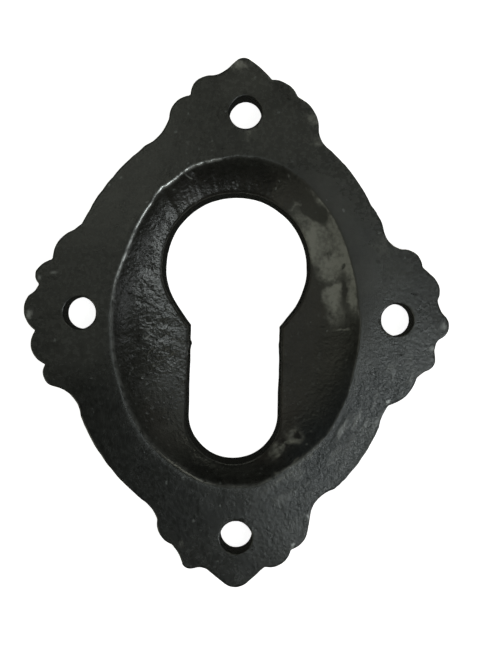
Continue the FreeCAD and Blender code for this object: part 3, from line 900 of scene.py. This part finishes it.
# The stage: a pale floor under the plate and soft lights. Angles in degrees as seen from above,
# counter-clockwise from +X, and heights above the floor; lengths in metres, power in watts.
stage = {
    "floorColour": (0.86, 0.86, 0.85, 1),
    "floorRoughness": 0.9,
    "floorGlow": 0.93,
    "floorHalfWidth": 3.0,
    "floorDrop": 0.00002,       # so that it doesn't meet the plate's back
    "worldColour": (0.97, 1.0, 0.86, 1),
    "belowGlow": 0.018,         # of the world, low down
    "overheadGlow": 0.075,      # and high up
    "glowRise": (0.1, 0.6),     # between these heights on the unit sphere
    "horizonGlow": 0.80,        # of a band near the horizon
    "horizonBand": (-0.24, 0.26),  # its middle and its reach to either side
    "lights": {
        "window_high": {"around": -39, "above": 76, "away": 0.30, "across": 0.06,
                        "power": 0.0548, "colour": (0.89, 0.965, 0.965)},
        "window_middle": {"around": -30, "above": 62, "away": 0.30, "across": 0.06,
                          "power": 0.082, "colour": (0.91, 0.97, 0.96)},
        "window_low": {"around": -30, "above": 45, "away": 0.70, "across": 0.14,
                       "power": 0.31, "colour": (0.91, 0.97, 0.98)},
        "window_sill": {"around": -8, "above": 28, "away": 0.70, "across": 0.16,
                        "power": 0.17, "colour": (0.93, 0.98, 1.0)},
        "overhead": {"around": -40, "above": 84, "away": 0.30, "across": 0.06,
                     "power": 0.0122, "colour": (0.90, 1.0, 0.95)},
        "lamp_upper_left": {"around": 135, "above": 74, "away": 0.30, "across": 0.06,
                            "power": 0.018, "colour": (0.96, 1.0, 0.85)},
        "lamp_upper_right": {"around": 60, "above": 62, "away": 0.30, "across": 0.06,
                             "power": 0.042, "colour": (0.99, 1.0, 0.82)},
        "lamp_left": {"around": 180, "above": 50, "away": 0.70, "across": 0.14,
                      "power": 0.132, "colour": (1.0, 0.99, 0.78)},
        "lamp_lower_left": {"around": 210, "above": 50, "away": 0.70, "across": 0.14,
                            "power": 0.228, "colour": (1.0, 0.99, 0.78)},
        "lamp_low": {"around": 210, "above": 26, "away": 0.70, "across": 0.14,
                     "power": 0.309, "colour": (0.96, 1.0, 0.80)},
    },
}


def setFloor():
    mesh = bpy.data.meshes.new("floor")
    half = stage["floorHalfWidth"]
    mesh.from_pydata([(-half, -half, 0), (half, -half, 0), (half, half, 0), (-half, half, 0)], [],
                     [(0, 1, 2, 3)])
    floor = addObject("floor", mesh)
    floor.location.z = -stage["floorDrop"]
    floor.visible_diffuse = False
    floor.visible_glossy = False
    material = bpy.data.materials.new("pale_floor")
    material.use_nodes = True
    shader = material.node_tree.nodes["Principled BSDF"]
    shader.inputs["Base Color"].default_value = stage["floorColour"]
    shader.inputs["Roughness"].default_value = stage["floorRoughness"]
    shader.inputs["Emission Color"].default_value = (1, 1, 1, 1)
    shader.inputs["Emission Strength"].default_value = stage["floorGlow"]
    mesh.materials.append(material)
    print("floor:", 2 * half, "metres wide")


# The world glows from low to high, and in a band by glow * (1 - ((z - middle) / reach)^2), where
# z is the height of the direction on the unit sphere.
def setWorld():
    world = bpy.data.worlds.new("studio")
    bpy.context.scene.world = world
    world.use_nodes = True
    sky = world.node_tree
    background = sky.nodes["Background"]
    background.inputs["Color"].default_value = stage["worldColour"]
    direction = sky.nodes.new("ShaderNodeTexCoord").outputs["Generated"]
    rise = addNode(sky, "SeparateXYZ", {}, {"Vector": direction}).outputs["Z"]
    glow = rescale(sky, rise, *stage["glowRise"], stage["belowGlow"], stage["overheadGlow"])
    middle, reach = stage["horizonBand"]
    away = calculate(sky, "ABSOLUTE", calculate(sky, "SUBTRACT", rise, middle), 0)
    away = rescale(sky, away, 0, reach, 0, 1)
    band = rescale(sky, times(sky, away, away), 0, 1, stage["horizonGlow"], 0)
    feed(sky, background.inputs["Strength"], plus(sky, glow, band))
    print("world:", len(sky.nodes), "nodes")


def setLights():
    for name, values in stage["lights"].items():
        around, above = math.radians(values["around"]), math.radians(values["above"])
        lamp = bpy.data.lights.new(name, "AREA")
        lamp.shape = "DISK"
        lamp.size = values["across"]
        lamp.energy = values["power"]
        lamp.color = values["colour"]
        holder = bpy.data.objects.new(name, lamp)
        holder.visible_camera = False
        bpy.context.scene.collection.objects.link(holder)
        flat = values["away"] * math.cos(above)
        holder.location = (flat * math.cos(around), flat * math.sin(around),
                           values["away"] * math.sin(above))
        holder.rotation_euler = (-holder.location).to_track_quat("-Z", "Y").to_euler()
    print("lights:", len(stage["lights"]))


# The camera looks almost straight down. Lengths in millimetres, the roll in degrees.
view = {
    "foot": (0.84, 1.11),       # the point of the plate that lies under the lens
    "aboveFace": 190.9,
    "aim": (1.19, -1.00),       # the point of the face in the middle of the picture
    "lens": 55.12,
    "sensorHeight": 24.0,
    "clipStart": 10,
    "roll": 1.3,
}


def setCamera():
    camera = bpy.data.cameras.new("camera")
    camera.sensor_fit = "VERTICAL"
    camera.sensor_height = view["sensorHeight"]
    camera.lens = view["lens"]
    camera.clip_start = view["clipStart"] * mm
    holder = bpy.data.objects.new("camera", camera)
    bpy.context.scene.collection.objects.link(holder)
    top = plate["thickness"]
    place = np.array([*view["foot"], top + view["aboveFace"]])
    forward = np.array([*view["aim"], top]) - place
    forward /= np.linalg.norm(forward)
    roll = math.radians(view["roll"])
    upHint = np.array([-math.sin(roll), math.cos(roll), 0])
    right = np.cross(forward, upHint)
    right /= np.linalg.norm(right)
    up = np.cross(right, forward)
    turned = np.eye(4)
    turned[:3] = np.stack([right, up, -forward, place * mm], -1)
    holder.matrix_world = Matrix(turned.tolist())
    bpy.context.scene.camera = holder
    print("camera:", view["aboveFace"], "mm above the face")


escutcheon = buildEscutcheon()
escutcheon.data.materials.clear()
escutcheon.data.materials.append(blackenedIron())
setFloor()
setWorld()
setLights()
setCamera()
bpy.context.scene.view_settings.view_transform = "Standard"
